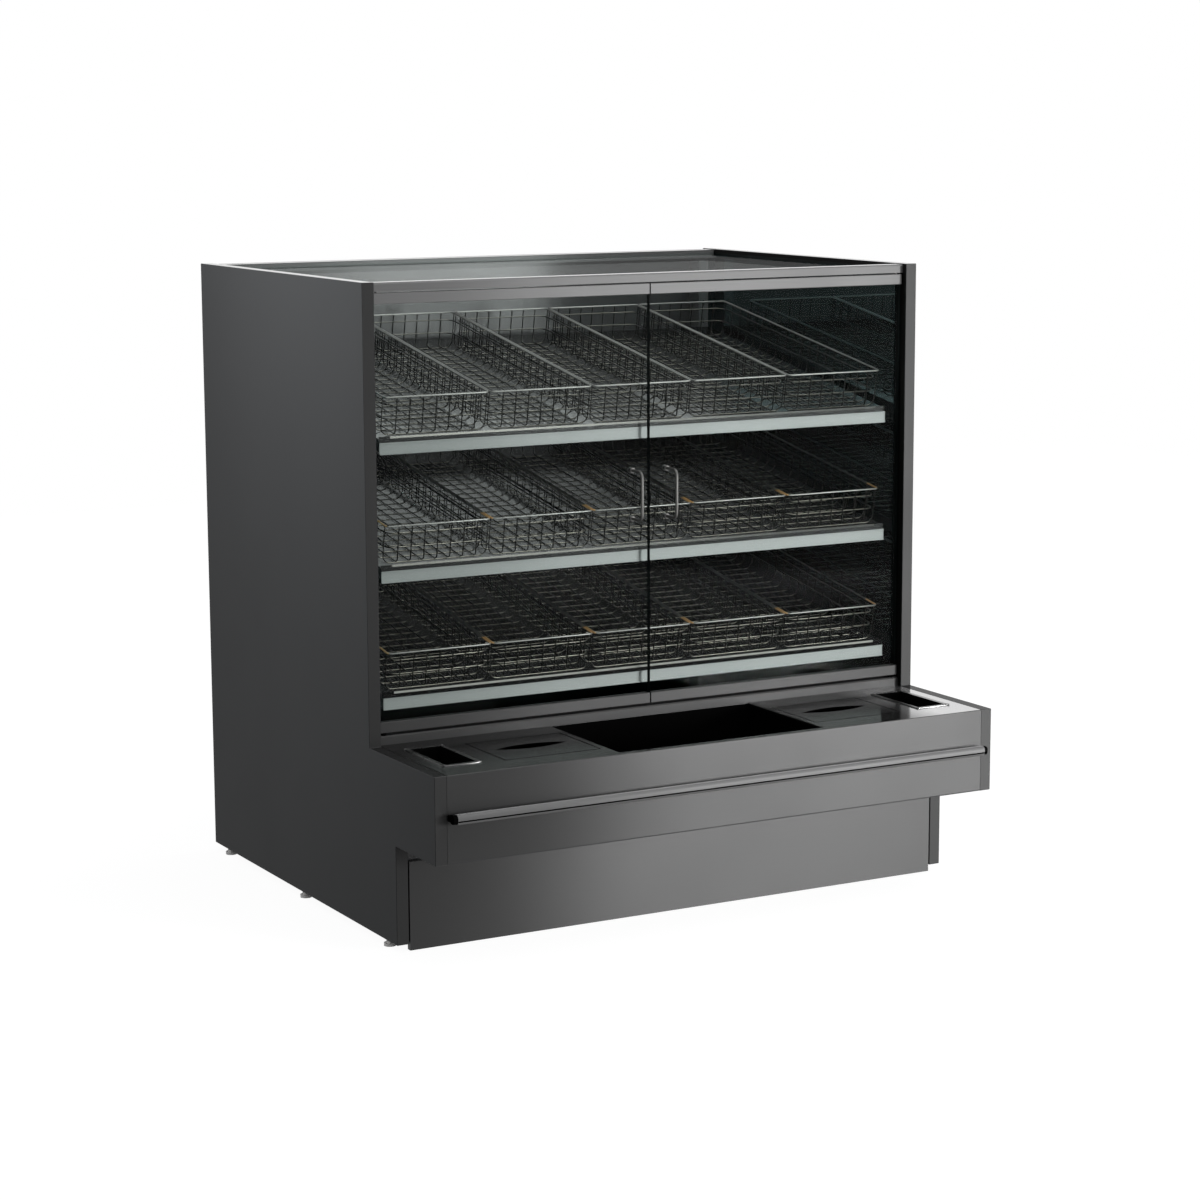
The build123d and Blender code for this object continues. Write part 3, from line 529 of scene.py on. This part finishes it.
def in_a_row(piece, count, step):
    """Repeats a piece along a step, as an applied array."""
    only(piece)
    bpy.ops.object.modifier_add(type="ARRAY")
    row = piece.modifiers[-1]
    row.count = count
    row.use_relative_offset = False
    row.use_constant_offset = True
    row.constant_offset_displace = step
    bpy.ops.object.modifier_apply(modifier=row.name)


basket_width = 0.2284
basket_length = 0.642
basket_height = 0.080
shelf_slope = radians(10)
rim_rod = 0.0036
wire_rod = 0.0026
rim_bend = 0.008
hoop_bend = 0.020
wire_bend = 0.016
end_bend = 0.008
glint_reach = 0.042
cross_inset = 0.010
cross_count = 20
long_count = 7
long_step = 0.0284
hoop_drops = (0.0175, 0.046)
painted_lit_wire_color = (0.36, 0.34, 0.29)
painted_lit_upper_wire_color = (0.12, 0.115, 0.1)
upper_fade = 0.001

wire_nickel = grained(
    "wire_nickel", (0.016, 0.0155, 0.0145), roughness=0.3, grain=60, tone=0.2, gloss=0.08, relief=0,
    metal=1.0,
)
# The wires are nearly black, and their faces that look forward and up are painted a pale warm grey: a
# painted highlight. On the upper shelf that painted highlight is dimmer, a shaded copy.
front_up_highlight = overlap(
    wire_nickel,
    share_by(wire_nickel, "Normal", "Z", nought_at=0.1, one_at=0.3),
    share_by(wire_nickel, "Normal", "Y", nought_at=-0.15, one_at=-0.4),
    share_by(wire_nickel, "Normal", "X", nought_at=0.4, one_at=0.15, either_way=True),
)
retone(wire_nickel, front_up_highlight, painted_lit_wire_color)
upper_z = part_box("upper_shelf_pan")[0].z
upper_wires = share_by(wire_nickel, "Object", "Z", nought_at=upper_z, one_at=upper_z + upper_fade)
retone(wire_nickel, overlap(wire_nickel, front_up_highlight, upper_wires), painted_lit_upper_wire_color)
rim_nickel = grained(
    "rim_nickel", (0.18, 0.177, 0.168), roughness=0.35, grain=60, tone=0.15, gloss=0.06, relief=0, metal=0.6
)
# A warm gold tint for the front corners of the rims: a painted glint.
glint_nickel = grained(
    "glint_nickel", (0.7, 0.44, 0.2), roughness=0.35, grain=60, tone=0.15, gloss=0.06, relief=0, metal=0.3
)

# One basket is bent and welded flat as a pattern: first its rim, with a painted warm glint at the front
# of both sides.
rim_z = basket_height - rim_rod / 2
half_in = basket_width / 2 - rim_rod / 2
middle_y = basket_length / 2
across = 2 * half_in
along = basket_length - rim_rod
pattern = bent_wire(across, along, rim_rod, rim_bend, sides=2)
put(pattern, (0, middle_y, rim_z))
pick(pattern, lambda place: True)
bpy.ops.mesh.bisect(plane_co=(0, glint_reach, 0), plane_no=(0, 1, 0))
bpy.ops.object.mode_set(mode="OBJECT")
pattern.data.materials.append(rim_nickel)
pattern.data.materials.append(glint_nickel)
for face in pattern.data.polygons:
    at_side = abs(face.center.x) > half_in - rim_bend / 2
    face.material_index = int(at_side and rim_rod < face.center.y < glint_reach)

# Then the cross wires, the long wires on them, and the hoops inside them.
cross_low = wire_rod / 2
cross_step = (basket_length - 2 * cross_inset) / (cross_count - 1)
cross = bent_wire(across, rim_z - cross_low, wire_rod, wire_bend, sides=1, is_open=True)
put(cross, (0, cross_inset, (rim_z + cross_low) / 2), (radians(90), 0, 0))
in_a_row(cross, cross_count, (0, cross_step, 0))
long_low = cross_low + wire_rod
first_long = -long_step * (long_count - 1) / 2
long_wire = bent_wire(along, rim_z - long_low, wire_rod, end_bend, sides=1, is_open=True)
put(long_wire, (first_long, middle_y, (rim_z + long_low) / 2), (radians(90), 0, radians(90)))
in_a_row(long_wire, long_count, (long_step, 0, 0))
wires = [cross, long_wire]
for drop in hoop_drops:
    hoop = bent_wire(across - 2 * wire_rod, along - 2 * wire_rod, wire_rod, hoop_bend, sides=1)
    put(hoop, (0, middle_y, basket_height - drop))
    wires.append(hoop)
for wire in wires:
    wire.data.materials.append(wire_nickel)
pattern = merge([pattern, *wires])
only(pattern)
bpy.ops.object.shade_smooth()
put(pattern, (0, 0, 0), (shelf_slope, 0, 0))

# The pattern, tilted to the shelves' slope, is copied to all fifteen places.
basket_names = [f"{shelf}_basket_{place}" for shelf in ("lower", "middle", "upper") for place in range(1, 6)]
for name in basket_names:
    low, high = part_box(name)
    only(pattern)
    bpy.ops.object.duplicate()
    basket = bpy.context.object
    basket.name = f"{name}_wires"
    put(basket, ((low.x + high.x) / 2, low.y + basket_height * sin(shelf_slope), low.z))
    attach(basket, f"{name}_body")
    # The upper baskets have no painted glint: their rim corners keep the plain rim finish.
    if name.startswith("upper"):
        basket.material_slots["glint_nickel"].material = rim_nickel
    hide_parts(name)
bpy.data.objects.remove(pattern)

# Top glass and doors: 6 mm clear panes with dark ground edges. The top pane lies between the side
# panels. Each door pane is held in an upper and a lower rail, and turns on zinc-plated pins in
# black plastic bushes in the header and the sill.
edge_color = (0.002, 0.004, 0.004)
edge_shine = 0.1
edge_blur = 0.5
pane_tint = (0.965, 0.985, 0.98)
pane_blur = 0.02
pane_index = 1.45
pane_coat = 0.08
clear_glass = bpy.data.materials.new("clear_glass")
clear_glass.use_nodes = True
glass_tree = clear_glass.node_tree
ground_edge = glass_tree.nodes["Principled BSDF"]
ground_edge.inputs["Base Color"].default_value = (*edge_color, 1)
ground_edge.inputs["Roughness"].default_value = edge_blur
ground_edge.inputs["Specular IOR Level"].default_value = edge_shine
glass_through = glass_tree.nodes.new("ShaderNodeBsdfTransparent")
glass_through.inputs["Color"].default_value = (*pane_tint, 1)
glass_mirror = glass_tree.nodes.new("ShaderNodeBsdfGlossy")
glass_mirror.inputs["Roughness"].default_value = pane_blur
glass_fresnel = glass_tree.nodes.new("ShaderNodeFresnel")
glass_fresnel.inputs["IOR"].default_value = pane_index
mirrored = combined(glass_tree, "MULTIPLY", glass_fresnel.outputs[0], pane_coat)
glass_face = mixed(glass_tree, mirrored, glass_through.outputs[0], glass_mirror.outputs[0])
on_edge = share_by(clear_glass, "Normal", "X", nought_at=0.7, one_at=0.8, either_way=True)
glass_whole = mixed(glass_tree, on_edge, glass_face, ground_edge.outputs[0])
glass_tree.links.new(glass_whole, glass_tree.nodes["Material Output"].inputs["Surface"])
panes = ("top_glass", "left_door_glass", "right_door_glass")
dress(clear_glass, *panes)
link_lamp(key_lamp, "panes_without_key_lamp", panes, "EXCLUDE")
dress(door_satin, "left_door_rails", "right_door_rails")
dress(zinc_plate, "left_door_pins", "right_door_pins")
black_plastic = grained("black_plastic", grey(0.002), roughness=0.6, grain=1200, relief=0.00005, shine=0.0)
dress(black_plastic, "pivot_bushes")

# Door handles: a satin steel rod bent into a pull on each door. Its ends pass through the pane,
# with a turned washer on each side of the glass.
handle_steel = grained(
    "handle_steel", (0.1, 0.1, 0.096), roughness=0.4, grain=700, stretch=(1, 1, 0.05), metal=0.4, shine=0.2
)
handle_rod = 0.0065
handle_bend = 0.012
stud_room = 0.008
washer_radius = 0.006
washer_thickness = 0.004
washer_round = 0.001
smooth_below = radians(35)
for side in ("left", "right"):
    low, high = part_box(f"{side}_door_handle")
    glass_low, glass_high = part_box(f"{side}_door_glass")
    middle_x = (low.x + high.x) / 2
    reach = high.y - low.y - handle_rod / 2
    tall = high.z - low.z - 2 * stud_room
    pull = bent_wire(tall, reach, handle_rod, handle_bend, sides=4, is_open=True)
    put(pull, (middle_x, high.y - reach / 2, (low.z + high.z) / 2), (0, radians(90), 0))
    parts = [pull]
    for stud_z in (low.z + stud_room, high.z - stud_room):
        for face_y in (glass_low.y - washer_thickness / 2, glass_high.y + washer_thickness / 2):
            bpy.ops.object.select_all(action="DESELECT")
            bpy.ops.mesh.primitive_cylinder_add(
                vertices=32, radius=washer_radius, depth=washer_thickness,
                location=(middle_x, face_y, stud_z), rotation=(radians(90), 0, 0),
            )
            washer = bpy.context.object
            bpy.ops.object.transform_apply(location=True, rotation=True)
            bpy.ops.object.mode_set(mode="EDIT")
            bpy.ops.mesh.select_all(action="SELECT")
            bpy.ops.mesh.bevel(offset=washer_round, segments=2)
            bpy.ops.object.mode_set(mode="OBJECT")
            parts.append(washer)
    pull = merge(parts)
    pull.name = f"{side}_pull"
    pull.data.materials.clear()
    pull.data.materials.append(handle_steel)
    bpy.ops.object.shade_smooth_by_angle(angle=smooth_below)
    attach(pull, f"{side}_door")
    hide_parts(f"{side}_door_handle")

# Ledge sheet and kick panel: dark satin steel. One sheet is folded over the front of the ledge as
# deck, fascia and bottom return, and its deck mirrors the case when seen from low down. Towards its
# right end the deck is painted much lighter where it mirrors: a painted reflection. The kick panel
# hangs on four magnets under it.
deck_tone = 0.06
deck_blur = 0.09
reflection_end_x = 0.44
reflection_end_full_x = 0.52
painted_reflection_tone = 0.6
kick_shine = 0.36
dark_steel = satin("dark_steel", grey(0.01), shine=0.33, grain=800)
polished_deck = polish_tops(dark_steel, deck_tone, deck_blur)
# The deck's right end is painted much lighter: a painted reflection.
painted_reflection_end = share_by(dark_steel, "Object", "X", nought_at=reflection_end_x, one_at=reflection_end_full_x)
retone(dark_steel, overlap(dark_steel, polished_deck, painted_reflection_end), grey(painted_reflection_tone))
dress(dark_steel, "ledge_sheet")
kick_steel = dark_steel.copy()
kick_steel.name = "kick_steel"
kick_steel.node_tree.nodes["Principled BSDF"].inputs["Specular IOR Level"].default_value = kick_shine
dress(kick_steel, "kick_panel")
dress(zinc_plate, "kick_magnets")

# Bumper rail: an extruded aluminium bar with rounded corners and a groove along its lower third,
# whose faces take the black plastic: painted shade in the groove. Black plastic spacers and end caps
# hold it off the fascia.
dress(black_plastic, "bumper_mounts")
low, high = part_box("bumper_rail")
bumper_round = 0.008
groove_top = low.z + 0.0086
groove_bottom = low.z + 0.0056
groove_depth = 0.003
near = 0.0001
bpy.ops.object.select_all(action="DESELECT")
bpy.ops.mesh.primitive_cube_add(size=1, location=(low + high) / 2)
bar = bpy.context.object
bar.name = "bumper_bar"
bar.scale = high - low
bpy.ops.object.transform_apply(location=True, rotation=True, scale=True)
for corner_y, corner_z in ((low.y, low.z), (low.y, high.z), (high.y, low.z), (high.y, high.z)):
    pick(bar, lambda place: abs(place.y - corner_y) < near and abs(place.z - corner_z) < near)
    bpy.ops.mesh.bevel(offset=bumper_round, segments=6)
pick(bar, lambda place: True)
for cut_z in (groove_bottom, groove_top):
    bpy.ops.mesh.select_all(action="SELECT")
    bpy.ops.mesh.bisect(plane_co=(0, 0, cut_z), plane_no=(0, 0, 1))
inner_x = high.x - near
for cut_x in (-inner_x, inner_x):
    bpy.ops.mesh.select_all(action="SELECT")
    bpy.ops.mesh.bisect(plane_co=(cut_x, 0, 0), plane_no=(1, 0, 0))
pick(bar, lambda place: (
    place.y < low.y + groove_depth and abs(place.x) < high.x - near / 2
    and groove_bottom - near < place.z < groove_top + near
))
bpy.ops.mesh.extrude_region_move(TRANSFORM_OT_translate={"value": (0, groove_depth, 0)})
bpy.ops.object.mode_set(mode="OBJECT")
bpy.ops.object.shade_smooth_by_angle(angle=smooth_below)
bar.data.materials.append(rail_satin)
bar.data.materials.append(black_plastic)
# The groove's faces are painted black plastic: painted shade in the groove.
for face in bar.data.polygons:
    shaded_groove = groove_bottom - near < face.center.z < groove_top + near
    face.material_index = int(shaded_groove and face.center.y > low.y + near and abs(face.center.x) < inner_x)
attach(bar, "cabinet")
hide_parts("bumper_rail")

# Tong wells: cups pressed from one steel sheet, whose bright flange rests on the ledge round its
# cut-out. Their inside below the flange is painted black: painted shade in the deep cup. They lift
# out to be washed.
flange_width = 0.008
flange_thickness = 0.0015
cup_clearance = 0.0005
flange_round = 0.004
edge_round = 0.0004
flange_steel = grained("flange_steel", grey(0.17), roughness=0.28, grain=800, gloss=0.03, metal=1.0)
for side in ("left", "right"):
    low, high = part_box(f"{side}_tong_well")
    bpy.ops.object.select_all(action="DESELECT")
    middle_x, middle_y = (low.x + high.x) / 2, (low.y + high.y) / 2
    bpy.ops.mesh.primitive_plane_add(size=1, location=(middle_x, middle_y, high.z))
    cup = bpy.context.object
    cup.name = f"{side}_tong_cup"
    cup.scale = (high.x - low.x, high.y - low.y, 1)
    bpy.ops.object.transform_apply(location=True, scale=True)
    bpy.ops.object.mode_set(mode="EDIT")
    bpy.ops.mesh.select_all(action="SELECT")
    bpy.ops.mesh.bevel(offset=flange_round, segments=4, affect="VERTICES")
    bpy.ops.mesh.select_all(action="SELECT")
    bpy.ops.mesh.inset(thickness=flange_width + cup_clearance)
    cup_drop = low.z + flange_thickness - high.z
    bpy.ops.mesh.extrude_region_move(TRANSFORM_OT_translate={"value": (0, 0, cup_drop)})
    bpy.ops.object.mode_set(mode="OBJECT")
    bpy.ops.object.modifier_add(type="SOLIDIFY")
    cup.modifiers[-1].thickness = flange_thickness
    cup.modifiers[-1].offset = -1
    bpy.ops.object.modifier_apply(modifier=cup.modifiers[-1].name)
    bpy.ops.object.modifier_add(type="BEVEL")
    cup.modifiers[-1].width = edge_round
    cup.modifiers[-1].segments = 2
    bpy.ops.object.modifier_apply(modifier=cup.modifiers[-1].name)
    bpy.ops.object.shade_smooth_by_angle(angle=smooth_below)
    cup.data.materials.append(flange_steel)
    cup.data.materials.append(black_plastic)
    # Inner faces below the flange take the black plastic: painted shade in the cup.
    for face in cup.data.polygons:
        shaded_inside = face.normal.dot(face.center - (low + high) / 2) < 0
        face.material_index = int(shaded_inside and face.center.z < high.z - flange_thickness)
    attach(cup, f"{side}_well")
    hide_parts(f"{side}_tong_well")

# Tissue boxes and covers: black plastic boxes under the ledge, and lids of its dark steel that lie
# in its cut-outs over them and lift off. Each lid has a pointed slot through which tissues are drawn.
# The slot's walls and a thin band round the lid's edge are painted near black: painted shade in the
# slot, and a painted shadow of the gap round the lid.
dress(black_plastic, "left_tissue_box", "right_tissue_box")
seam_width = 0.004
seam_core = 0.0025
seam_shade_tone = 0.001
for side in ("left", "right"):
    lid_steel = dark_steel.copy()
    lid_steel.name = f"{side}_lid_steel"
    low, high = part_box(f"{side}_tissue_cover")
    edges = (("X", low.x, 1), ("X", high.x, -1), ("Y", low.y, 1), ("Y", high.y, -1))
    rims = [
        share_by(lid_steel, "Object", axis, edge + inward * seam_width, edge + inward * seam_core)
        for axis, edge, inward in edges
    ]
    # Slot walls and the band round the lid's edge are painted near black, without shine: painted shade.
    shaded_slot_walls = share_by(lid_steel, "Normal", "Z", nought_at=0.6, one_at=0.4, either_way=True)
    painted_seam_shade = combined(lid_steel.node_tree, "MAXIMUM", shaded_slot_walls, *rims)
    retone(lid_steel, painted_seam_shade, grey(seam_shade_tone))
    blend_in(lid_steel, painted_seam_shade, "Metallic", 0)
    blend_in(lid_steel, painted_seam_shade, "Specular IOR Level", 0)
    dress(lid_steel, f"{side}_tissue_cover")

# Tray bin: a box moulded in black plastic, which hangs in the middle of the ledge and lifts out.
# Its outer faces are grey, and the inside of the deep well that shows from above keeps a near black:
# painted shade in the well.
bin_outer_tone = 0.2
bin_plastic = black_plastic.copy()
bin_plastic.name = "bin_plastic"
bin_low, bin_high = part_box("tray_bin")
bin_tree = bin_plastic.node_tree
bin_place = bin_tree.nodes.new("ShaderNodeTexCoord")
from_middle = bin_tree.nodes.new("ShaderNodeVectorMath")
from_middle.operation = "SUBTRACT"
from_middle.inputs[1].default_value = (bin_low + bin_high) / 2
outward = bin_tree.nodes.new("ShaderNodeVectorMath")
outward.operation = "DOT_PRODUCT"
bin_tree.links.new(bin_place.outputs["Object"], from_middle.inputs[0])
bin_tree.links.new(from_middle.outputs["Vector"], outward.inputs[0])
bin_tree.links.new(bin_place.outputs["Normal"], outward.inputs[1])
# Outer faces are turned grey and the inner ones stay near black: painted shade in the well.
retone(bin_plastic, outward.outputs["Value"], grey(bin_outer_tone))
dress(bin_plastic, "tray_bin")
